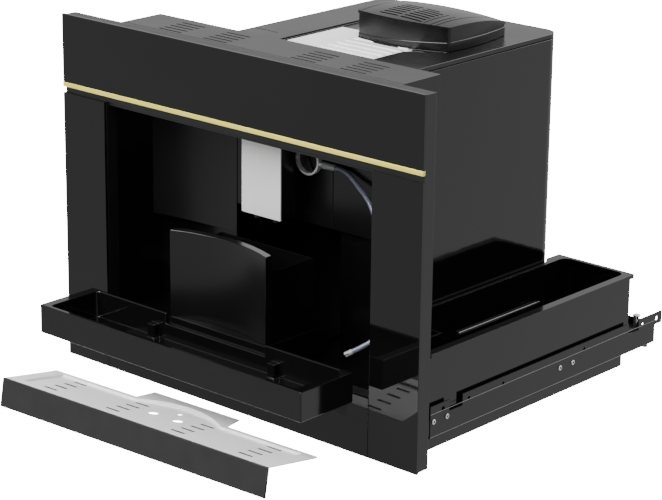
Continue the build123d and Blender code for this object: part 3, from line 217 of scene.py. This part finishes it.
def brushed_metal(name, colour, stretch, roughness=0.26, relief=0.00003, metallic=1.0):
    """Metal with fine straight brushing along the unstretched direction."""
    finish = Finish(name)
    streak = finish.noise(30.0, 4.0, stretch=stretch, rough=0.65)
    cloud = finish.noise(14.0, 2.0)
    base = finish.blend(streak, shade(colour, 0.84), shade(colour, 1.1))
    finish.bump(streak, relief, 0.5)
    rough = streak * 0.14 + cloud * 0.06 + (roughness - 0.10)
    return finish.set(Base_Color=base, Metallic=metallic, Roughness=rough)


def bright_metal(name, colour, roughness=0.07, metallic=1.0):
    """Polished plating with light wear."""
    finish = Finish(name)
    wear = finish.ramp(finish.noise(120.0, 3.0), 0.5, 0.8)
    base = finish.blend(wear, colour, shade(colour, 0.86))
    finish.bump(finish.noise(300.0, 1.0), 0.00002, 0.4)
    return finish.set(Base_Color=base, Metallic=metallic, Roughness=wear * 0.12 + roughness)


def zinc_metal(name, colour):
    """Zinc plate with a crystalline mottle."""
    finish = Finish(name)
    spangle = finish.cells(240.0)
    base = finish.blend(spangle, shade(colour, 0.8), shade(colour, 1.15))
    finish.bump(finish.noise(700.0, 2.0), 0.00003, 0.4)
    return finish.set(Base_Color=base, Metallic=0.9, Roughness=spangle * 0.15 + 0.25)


def soft_rubber(name, colour):
    """Matt rubber with a fine skin."""
    finish = Finish(name)
    skin = finish.noise(1400.0, 2.0)
    bloom = finish.noise(60.0, 3.0)
    base = finish.blend(bloom, shade(colour, 0.75), shade(colour, 1.4))
    finish.bump(skin, 0.00008, 0.6)
    return finish.set(Base_Color=base, Roughness=bloom * 0.15 + 0.62)


def hose_skin(name, colour):
    """Smooth silicone tube with a slight sheen and milky variation."""
    finish = Finish(name)
    milk = finish.noise(55.0, 3.0)
    base = finish.blend(milk, shade(colour, 0.82), shade(colour, 1.18))
    finish.bump(finish.noise(600.0, 2.0), 0.00005, 0.5)
    return finish.set(Base_Color=base, Roughness=milk * 0.12 + 0.22, Coat_Weight=0.25)


def cast_metal(name, colour):
    """Blasted cast metal."""
    finish = Finish(name)
    pits = finish.noise(420.0, 4.0)
    base = finish.blend(pits, shade(colour, 0.7), shade(colour, 1.15))
    finish.bump(pits, 0.00025, 0.7)
    return finish.set(Base_Color=base, Metallic=0.9, Roughness=pits * 0.2 + 0.38)


def lacquered_board(name, colour):
    """Circuit board lacquer with faint tracks."""
    finish = Finish(name)
    tracks = finish.noise(160.0, 1.0, stretch=(1.0, 1.0, 5.0)).over(0.56)
    base = finish.blend(tracks, colour, shade(colour, 2.1))
    finish.bump(tracks, 0.00005, 0.5)
    return finish.set(Base_Color=base, Roughness=tracks * 0.15 + 0.3)


ALONG_WIDTH = (1.0, 40.0, 40.0)
UPRIGHT = (40.0, 40.0, 1.0)
ROUND_THE_BURR = (1.0, 1.0, 60.0)

FINISH_MAKERS = {
    "front_glass": lambda name, look: black_glass(name, look.glass),
    "black_frame": lambda name, look: satin_plastic(name, look.black, 0.3),
    "brass": lambda name, look: brushed_metal(name, look.brass, ALONG_WIDTH, 0.4, metallic=0.45),
    "black_sheet": lambda name, look: painted_sheet(name, look.sheet),
    "zinc_steel": lambda name, look: zinc_metal(name, look.zinc),
    "bright_steel": lambda name, look: bright_metal(name, look.chrome),
    "rubber": lambda name, look: soft_rubber(name, look.black),
    "bay_plastic": lambda name, look: gloss_plastic(name, look.bay, 0.16),
    "gloss_black": lambda name, look: gloss_plastic(name, look.gloss),
    "matt_black": lambda name, look: satin_plastic(name, look.black),
    "spout_steel": lambda name, look: brushed_metal(name, look.steel, UPRIGHT, 0.42, metallic=0.45),
    "pressed_steel": lambda name, look: brushed_metal(name, look.pressed, ALONG_WIDTH, 0.5, metallic=0.15),
    "fascia_black": lambda name, look: satin_plastic(name, look.fascia, 0.34),
    "silky_black": lambda name, look: gloss_plastic(name, look.gloss, 0.24),
    "ring_chrome": lambda name, look: bright_metal(name, look.chrome, 0.22, metallic=0.55),
    "smoked_tube": lambda name, look: gloss_plastic(name, look.tube, 0.12),
    "pale_plastic": lambda name, look: satin_plastic(name, look.pale, 0.32),
    "hose_grey": lambda name, look: hose_skin(name, look.hose),
    "burr_steel": lambda name, look: brushed_metal(name, look.zinc, ROUND_THE_BURR, 0.34),
    "brew_plastic": lambda name, look: satin_plastic(name, shade(look.black, 4.0)),
    "heater_metal": lambda name, look: cast_metal(name, look.zinc),
    "board_green": lambda name, look: lacquered_board(name, look.board),
}

# pieces whose finish differs from that of their material slot
NODE_FINISH = {
    "drip_grid": "pressed_steel",
    "cup_plate": "pressed_steel",
    "grid_fascia": "fascia_black",
    "grounds_bin": "gloss_black",
    "grounds_front": "silky_black",
    "rear_panel_left": "silky_black",
    "rear_panel_centre": "silky_black",
    "rear_panel_right": "silky_black",
    "spout_block": "silky_black",
    "top_cover": "silky_black",
    "side_lid": "silky_black",
    "bean_hopper": "silky_black",
    "hopper_lid": "silky_black",
    "frother_ring": "ring_chrome",
    "tank_pipe": "smoked_tube",
}


def finish_of(slot, look):
    """The material of a slot or a finish, made once."""
    name = slot + "_finish"
    return bpy.data.materials.get(name) or FINISH_MAKERS[slot](name, look)


# ---------------------------------------------------------------- mesh helpers
def piece_from(bm, name, body, slot, look, finish=None):
    """Turns a bmesh into a finished piece that rides on a body."""
    mesh = bpy.data.meshes.new(name)
    bm.to_mesh(mesh)
    bm.free()
    mesh.shade_smooth()
    mesh.set_sharp_from_angle(angle=SHARP_ANGLE)
    piece = bpy.data.objects.new(name, mesh)
    bpy.context.scene.collection.objects.link(piece)
    mesh.materials.append(finish_of(finish or slot, look))
    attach(piece, body)
    return piece


def merged(node):
    """A bmesh copy of a CAD node with its triangles joined and its flat faces whole."""
    bm = bmesh.new()
    bm.from_mesh(frame["nodes"][node].data)
    bmesh.ops.remove_doubles(bm, verts=bm.verts, dist=MERGE_DISTANCE)
    bmesh.ops.dissolve_limit(bm, angle_limit=FLAT_ANGLE, verts=bm.verts, edges=bm.edges)
    return bm


def soft_edges(piece, radius, segments=2):
    """Rounds a piece's sharp edges with a modifier."""
    bevel = piece.modifiers.new("edges", "BEVEL")
    bevel.width = radius
    bevel.segments = segments
    bevel.limit_method = "ANGLE"
    bevel.angle_limit = SHARP_ANGLE
    bevel.use_clamp_overlap = True
    weigh = piece.modifiers.new("even_shading", "WEIGHTED_NORMAL")
    weigh.keep_sharp = True


def edged(node, radius, look, segments=2):
    """A copy of a CAD node with rounded edges, which stands for it."""
    finish = NODE_FINISH.get(node)
    piece = piece_from(merged(node), node + "_edged", NODE_BODY[node], NODE_SLOT[node], look, finish=finish)
    soft_edges(piece, radius, segments)
    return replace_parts(piece, node)


def dressed(node, look):
    """A CAD node that keeps its shape and gets its finish."""
    shown = frame["nodes"][node]
    shown.data.materials.clear()
    shown.data.materials.append(finish_of(NODE_FINISH.get(node, NODE_SLOT[node]), look))


def cube_at(bm, place, size, turn=0.0):
    """A box in a bmesh, turned about its first axis."""
    made = bmesh.ops.create_cube(bm, size=1.0)["verts"]
    bmesh.ops.scale(bm, verts=made, vec=size)
    spin = Matrix.Rotation(math.radians(turn), 3, "X")
    bmesh.ops.rotate(bm, verts=made, cent=(0.0, 0.0, 0.0), matrix=spin)
    bmesh.ops.translate(bm, verts=made, vec=place)


# ---------------------------------------------------------------- settings
def colour_property(name, description, default):
    """A colour setting."""
    return bpy.props.FloatVectorProperty(
        name=name, description=description, subtype="COLOR", size=3, min=0.0, max=1.0, default=default
    )


def length_property(name, description, default):
    """A length setting in metres."""
    return bpy.props.FloatProperty(name=name, description=description, unit="LENGTH", default=default)


class MachineColours(bpy.types.PropertyGroup):
    """Base colours of the finishes."""

    glass: colour_property("Glass", "Black of the front glass", (0.0028, 0.0028, 0.0030))
    black: colour_property("Black", "Black of matt pieces", (0.0060, 0.0060, 0.0062))
    gloss: colour_property("Gloss", "Black of gloss mouldings", (0.0030, 0.0030, 0.0032))
    bay: colour_property("Bay", "Black of the serving bay", (0.0020, 0.0020, 0.0021))
    sheet: colour_property("Sheet", "Paint of the steel sheet", (0.0100, 0.0100, 0.0104))
    brass: colour_property("Brass", "Brass of the trim strip", (0.98, 0.85, 0.16))
    steel: colour_property("Steel", "Brushed steel", (0.88, 0.88, 0.87))
    pressed: colour_property("Pressed steel", "Drip grid and cup plate", (0.95, 0.95, 0.96))
    fascia: colour_property("Fascia", "Black of the grid's fascia", (0.013, 0.013, 0.0135))
    zinc: colour_property("Zinc", "Zinc-plated steel", (0.42, 0.42, 0.44))
    chrome: colour_property("Chrome", "Bright plating", (0.92, 0.92, 0.93))
    tube: colour_property("Tube", "Smoked plastic of the tank pipe", (0.030, 0.030, 0.032))
    pale: colour_property("Pale", "Pale plastic fittings", (0.28, 0.285, 0.29))
    hose: colour_property("Hose", "Milk hose", (0.11, 0.114, 0.165))
    board: colour_property("Board", "Circuit board lacquer", (0.015, 0.08, 0.035))
    floor: colour_property("Floor", "Studio floor", (0.86, 0.86, 0.86))


class MachineSizes(bpy.types.PropertyGroup):
    """Small radii that only the looks have."""

    sheet_edge: length_property("Sheet edge", "Rounding of folded sheet edges", 0.0006)
    moulded_edge: length_property("Moulded edge", "Rounding of moulded edges", 0.0010)
    glass_edge: length_property("Glass edge", "Ground edge of each pane", 0.0005)
    lid_edge: length_property("Lid edge", "Rounding of the hopper lid's edges", 0.0016)
    rail_edge: length_property("Rail edge", "Rounding of the rails' edges", 0.0003)
    hose_diameter: length_property("Hose diameter", "Outside diameter of the milk hose", 0.006)
    floor_size: length_property("Floor size", "Side length of the studio floor", 30.0)
    floor_glow: bpy.props.FloatProperty(
        name="Floor glow", description="Light of the white floor", default=22.0
    )


class MachineOperator(bpy.types.Operator):
    """Shared settings access for the building steps."""

    bl_idname = "machine.base"
    bl_label = "Machine step"
    bl_options = {"REGISTER", "UNDO"}

    def execute(self, context):
        """Builds this step's pieces and reports that they are done."""
        self.build(context.scene.machine_colours, context.scene.machine_sizes)
        return {"FINISHED"}

    def build(self, look, sizes):
        """The pieces of the step."""
        raise NotImplementedError


# ---------------------------------------------------------------- front
class MACHINE_OT_front(MachineOperator):
    """Glass panes, brass strip, carrier frame and lintel"""

    bl_idname = "machine.front"
    bl_label = "Front panel"

    def build(self, look, sizes):
        for node in ("top_glass", "column_glass_left", "column_glass_right", "bottom_glass"):
            edged(node, sizes.glass_edge, look, 1)
        edged("panel_frame", sizes.sheet_edge, look)
        edged("brass_strip", sizes.sheet_edge, look)
        edged("lintel", sizes.sheet_edge, look)


class MACHINE_OT_housing(MachineOperator):
    """Sheet housing, its slotted lid, base floor, side profiles and shelf"""

    bl_idname = "machine.housing"
    bl_label = "Housing and base"

    def build(self, look, sizes):
        for node in ("vent_housing", "carriage_side_right", "carriage_side_left", "tank_shelf", "inner_deck"):
            edged(node, sizes.rail_edge, look)
        edged("vent_cover", sizes.sheet_edge, look)
        for node in ("base_pan", "rear_cover"):
            dressed(node, look)
        edged("stop_pin", sizes.sheet_edge, look)


class MACHINE_OT_body(MachineOperator):
    """Rear body shell, top cover, lid strip, cup plate and mains inlet"""

    bl_idname = "machine.body"
    bl_label = "Rear body"

    def build(self, look, sizes):
        edged("body_shell", sizes.sheet_edge, look)
        edged("top_cover", sizes.moulded_edge, look)
        edged("side_lid", sizes.sheet_edge, look)
        edged("cup_plate", sizes.sheet_edge, look)
        edged("mains_inlet", sizes.sheet_edge, look)


class MACHINE_OT_hopper(MachineOperator):
    """Bean hopper, its domed lid and the coarseness knob"""

    bl_idname = "machine.hopper"
    bl_label = "Bean hopper"

    def build(self, look, sizes):
        edged("bean_hopper", sizes.moulded_edge, look)
        edged("hopper_lid", sizes.lid_edge, look, 3)
        edged("grind_knob", sizes.moulded_edge, look)


class MACHINE_OT_bay(MachineOperator):
    """Serving bay walls, rear panels and coffee spout"""

    bl_idname = "machine.bay"
    bl_label = "Serving bay"

    def build(self, look, sizes):
        for node in ("cavity_liner", "grounds_compartment"):
            dressed(node, look)
        for node in ("rear_panel_left", "rear_panel_centre", "rear_panel_right"):
            edged(node, sizes.sheet_edge, look)
        for node in ("spout_block", "coffee_nozzles"):
            edged(node, sizes.sheet_edge, look)
        edged("spout_plate", sizes.rail_edge, look)


class MACHINE_OT_frother(MachineOperator):
    """Milk frother: base, chrome ring and dial"""

    bl_idname = "machine.frother"
    bl_label = "Frother"

    def build(self, look, sizes):
        dressed("frother_body", look)
        edged("frother_ring", sizes.sheet_edge, look)
        edged("frother_dial", sizes.sheet_edge, look)
        edged("hose_fitting", sizes.rail_edge, look)


HOSE_POINTS = (
    (0.0873, 0.0680, 0.3106),
    (0.1020, 0.0680, 0.3106),
    (0.1180, 0.0655, 0.3020),
    (0.1300, 0.0620, 0.2960),
    (0.1420, 0.0580, 0.2908),
    (0.1530, 0.0542, 0.2844),
    (0.1630, 0.0505, 0.2746),
    (0.1730, 0.0465, 0.2596),
    (0.1840, 0.0410, 0.2381),
    (0.1950, 0.0330, 0.2140),
    (0.2065, 0.0245, 0.1915),
    (0.2147, 0.0133, 0.1706),
    (0.2183, 0.0038, 0.1511),
    (0.2135, -0.0042, 0.1394),
    (0.1934, -0.0182, 0.1259),
)
HOSE_ROUNDNESS = 6
HOSE_STEPS = 8


class MACHINE_OT_hose(MachineOperator):
    """Milk hose and the sleeve on its free end"""

    bl_idname = "machine.hose"
    bl_label = "Milk hose"

    def build(self, look, sizes):
        curve = bpy.data.curves.new("milk_hose_tube", "CURVE")
        curve.dimensions = "3D"
        curve.bevel_depth = sizes.hose_diameter / 2
        curve.bevel_resolution = HOSE_ROUNDNESS
        curve.resolution_u = HOSE_STEPS
        curve.use_fill_caps = True
        spline = curve.splines.new("NURBS")
        spline.points.add(len(HOSE_POINTS) - 1)
        for point, place in zip(spline.points, HOSE_POINTS):
            point.co = (*place, 1.0)
        spline.order_u = 3
        spline.use_endpoint_u = True
        hose = bpy.data.objects.new("milk_hose_tube", curve)
        bpy.context.scene.collection.objects.link(hose)
        curve.materials.append(finish_of("hose_grey", look))
        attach(hose, "carriage")
        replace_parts(hose, "milk_hose")
        tip = edged("hose_tip", sizes.rail_edge, look)


# ---------------------------------------------------------------- tray, container and grid
class MACHINE_OT_tray(MachineOperator):
    """Drip tray and the grounds container on its tongue"""

    bl_idname = "machine.tray"
    bl_label = "Drip tray and container"

    def build(self, look, sizes):
        edged("drip_tray", sizes.moulded_edge, look)
        edged("grounds_front", sizes.sheet_edge, look)
        edged("grounds_bin", sizes.sheet_edge, look)


class MACHINE_OT_grid(MachineOperator):
    """Pressed steel drip grid with its black fascia"""

    bl_idname = "machine.grid"
    bl_label = "Drip grid"

    def build(self, look, sizes):
        edged("drip_grid", sizes.rail_edge, look)
        edged("grid_fascia", sizes.sheet_edge, look)


GRID_PLACE = (-0.0012, -0.1925, 0.03624)
GRID_TURN = 2.35
GRID_TILT = -10.0
# places on the grid lying level, from the middle of its front top edge
SLOT_COLUMNS = (-0.160, -0.0535, 0.0535, 0.160)
SLOT_ROWS = (0.0245, 0.0418, 0.0591, 0.0764)
SLOT_LENGTH = 0.0215
SLOT_WIDTH = 0.0040
SLOT_DEPTH = -0.00375  # middle of the sheet in the sunk field
SLOT_SHADE_HEIGHT = 0.0014


class MACHINE_OT_painted_slot_shade(MachineOperator):
    """Painted shade: thin matt-black strips round the drip grid's slots, standing for the shade on the slot
    walls
    """

    bl_idname = "machine.slot_edges"
    bl_label = "Painted slot shade"

    def build(self, look, sizes):
        # painted shade: a matt-black strip along each side and each end of every slot
        bm = bmesh.new()
        for x in SLOT_COLUMNS:
            for y in SLOT_ROWS:
                for side in (-1.0, 1.0):
                    edge = y + side * SLOT_WIDTH / 2
                    end = x + side * SLOT_LENGTH / 2
                    cube_at(bm, (x, edge, SLOT_DEPTH), (SLOT_LENGTH, LINE, SLOT_SHADE_HEIGHT))
                    cube_at(bm, (end, y, SLOT_DEPTH), (LINE, SLOT_WIDTH, SLOT_SHADE_HEIGHT))
        turn = Matrix.Rotation(math.radians(GRID_TURN), 4, "Z")
        tilt = Matrix.Rotation(math.radians(GRID_TILT), 4, "X")
        bmesh.ops.transform(bm, matrix=Matrix.Translation(GRID_PLACE) @ turn @ tilt, verts=bm.verts)
        piece_from(bm, "grid_painted_slot_shade", NODE_BODY["drip_grid"], "matt_black", look)


class MACHINE_OT_tank(MachineOperator):
    """Open water tank with its pipe and valve"""

    bl_idname = "machine.tank"
    bl_label = "Water tank"

    def build(self, look, sizes):
        edged("water_tank", sizes.moulded_edge, look)
        dressed("tank_pipe", look)
        edged("tank_valve", sizes.rail_edge, look)


SCREW_PLACES = (0.0316, 0.0565, 0.2790, 0.3058)
SCREW_HEIGHT = 0.0458
FOLD_HEIGHT = 0.0555
EAR_LENGTH = 0.015
CROSS_LENGTH = 0.0038
CROSS_WIDTH = 0.0010
CROSS_TURNS = (45.0, 135.0)


class MACHINE_OT_rails(MachineOperator):
    """Pull-out rails, their screws and feet"""

    bl_idname = "machine.rails"
    bl_label = "Rails"

    def build(self, look, sizes):
        for node in ("rail_outer_right", "rail_outer_left", "rail_middle", "rail_inner"):
            edged(node, sizes.rail_edge, look)
        edged("rail_screws", sizes.sheet_edge, look, 3)
        edged("rail_feet", sizes.sheet_edge, look)


class MACHINE_OT_rail_details(MachineOperator):
    """Thin zinc strips along the rails' folds, a painted highlight, and thin matt-black crosses on the screw
    heads, painted shade of their cross recesses
    """

    bl_idname = "machine.rail_details"
    bl_label = "Rail details"

    def build(self, look, sizes):
        low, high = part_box("rail_outer_right")
        half = high[0]
        screw_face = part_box("rail_screws")[1][0]
        back = high[1] - EAR_LENGTH
        for side, name in ((1.0, "right"), (-1.0, "left")):
            bm = bmesh.new()
            # painted highlight: a bright zinc strip along the fold and along the bottom edge of each rail
            for height in (FOLD_HEIGHT, low[2] + LINE):
                cube_at(bm, (side * half, (low[1] + back) / 2, height), (LINE, back - low[1], LINE))
            piece_from(bm, "rail_fold_" + name, "cabinet_rails", "zinc_steel", look)
            bm = bmesh.new()
            # painted shade: thin matt-black crosses laid on each screw head stand for the shade in its cross
            # recess
            for place in SCREW_PLACES:
                middle = (side * screw_face, place, SCREW_HEIGHT)
                for turn in CROSS_TURNS:
                    cube_at(bm, middle, (LINE, CROSS_LENGTH, CROSS_WIDTH), turn)
            piece_from(bm, "screw_crosses_" + name, "cabinet_rails", "matt_black", look)


class MACHINE_OT_works(MachineOperator):
    """Hidden works inside the body"""

    bl_idname = "machine.works"
    bl_label = "Inner works"

    def build(self, look, sizes):
        for node in ("grinder_housing", "grinder_motor", "brew_cylinder", "brew_piston", "boiler", "pump"):
            edged(node, sizes.moulded_edge, look)
        edged("grinding_burr", sizes.rail_edge, look)
        edged("control_board", sizes.rail_edge, look)


# ---------------------------------------------------------------- stage
LENS = 132.06
SENSOR = 36.0
CAMERA_PLACE = (1.9524, -2.0338, 1.1164)
CAMERA_TURN = (72.0664, -0.6103, 41.8813)
LIGHTS = (
    ("key", (-0.6, -2.4, 2.6), 2.4, 250.0),
    ("fill", (2.6, -1.2, 1.8), 2.0, 20.0),
    ("back", (0.6, 2.6, 2.4), 2.2, 60.0),
)
LIGHT_AIM = (0.0, 0.0, 0.2)
FLOOR_DROP = 0.0006
ROOM_TURN = -90.0
ROOM_LEVELS = ((0.0, 0.52), (0.5, 0.80))


class MACHINE_OT_stage(MachineOperator):
    """Floor, light and camera"""

    bl_idname = "machine.stage"
    bl_label = "Stage"

    def build(self, look, sizes):
        scene = bpy.context.scene
        bm = bmesh.new()
        bmesh.ops.create_grid(bm, x_segments=1, y_segments=1, size=sizes.floor_size / 2)
        bmesh.ops.translate(bm, verts=bm.verts, vec=(0.0, 0.0, -FLOOR_DROP))
        mesh = bpy.data.meshes.new("floor")
        bm.to_mesh(mesh)
        bm.free()
        floor = bpy.data.objects.new("floor", mesh)
        scene.collection.objects.link(floor)
        finish = Finish("floor_paint")
        cloud = finish.noise(0.8, 2.0)
        base = finish.blend(cloud, shade(look.floor, 0.99), look.floor)
        glow = (*look.floor, 1.0)
        finish.set(Emission_Color=glow, Emission_Strength=sizes.floor_glow)
        mesh.materials.append(finish.set(Base_Color=base, Roughness=0.9))
        floor.visible_glossy = False
        floor.visible_diffuse = False

        world = bpy.data.worlds.new("studio")
        world.use_nodes = True
        tree = world.node_tree
        heading = tree.nodes.new("ShaderNodeTexCoord")
        turned = tree.nodes.new("ShaderNodeMapping")
        turned.inputs["Rotation"].default_value = (0.0, 0.0, math.radians(ROOM_TURN))
        fade = tree.nodes.new("ShaderNodeTexGradient")
        levels = tree.nodes.new("ShaderNodeValToRGB")
        for element, (place, level) in zip(levels.color_ramp.elements, ROOM_LEVELS):
            element.position = place
            element.color = (level, level, level, 1.0)
        tree.links.new(heading.outputs["Generated"], turned.inputs["Vector"])
        tree.links.new(turned.outputs["Vector"], fade.inputs["Vector"])
        tree.links.new(fade.outputs["Fac"], levels.inputs["Fac"])
        tree.links.new(levels.outputs["Color"], tree.nodes["Background"].inputs["Color"])
        scene.world = world
        for name, place, size, power in LIGHTS:
            data = bpy.data.lights.new(name, "AREA")
            data.size = size
            data.energy = power
            lamp = bpy.data.objects.new(name, data)
            lamp.location = place
            aim = Vector(LIGHT_AIM) - Vector(place)
            lamp.rotation_euler = aim.to_track_quat("-Z", "Y").to_euler()
            scene.collection.objects.link(lamp)

        data = bpy.data.cameras.new("camera")
        data.lens = LENS
        data.sensor_width = SENSOR
        camera = bpy.data.objects.new("camera", data)
        camera.location = CAMERA_PLACE
        camera.rotation_euler = [math.radians(angle) for angle in CAMERA_TURN]
        scene.collection.objects.link(camera)
        scene.camera = camera


STEPS = (
    MACHINE_OT_stage,
    MACHINE_OT_hose,
    MACHINE_OT_front,
    MACHINE_OT_housing,
    MACHINE_OT_body,
    MACHINE_OT_hopper,
    MACHINE_OT_bay,
    MACHINE_OT_frother,
    MACHINE_OT_tray,
    MACHINE_OT_grid,
    MACHINE_OT_painted_slot_shade,
    MACHINE_OT_tank,
    MACHINE_OT_rails,
    MACHINE_OT_rail_details,
    MACHINE_OT_works,
)


class MACHINE_PT_panel(bpy.types.Panel):
    """Lists the building steps"""

    bl_idname = "MACHINE_PT_panel"
    bl_label = "Coffee Machine"
    bl_space_type = "VIEW_3D"
    bl_region_type = "UI"
    bl_category = "Coffee Machine"

    def draw(self, context):
        """One button for each step."""
        for step in STEPS:
            self.layout.operator(step.bl_idname)


CLASSES = (MachineColours, MachineSizes, *STEPS, MACHINE_PT_panel)


def register():
    """Registers the classes and their settings."""
    for cls in CLASSES:
        bpy.utils.register_class(cls)
    bpy.types.Scene.machine_colours = bpy.props.PointerProperty(type=MachineColours)
    bpy.types.Scene.machine_sizes = bpy.props.PointerProperty(type=MachineSizes)


def unregister():
    """Removes the settings and the classes."""
    del bpy.types.Scene.machine_sizes
    del bpy.types.Scene.machine_colours
    for cls in reversed(CLASSES):
        bpy.utils.unregister_class(cls)


def main():
    """Registers the steps, then builds every piece in order."""
    register()
    for step in STEPS:
        group, action = step.bl_idname.split(".")
        getattr(getattr(bpy.ops, group), action)()


if __name__ == "__main__":
    main()
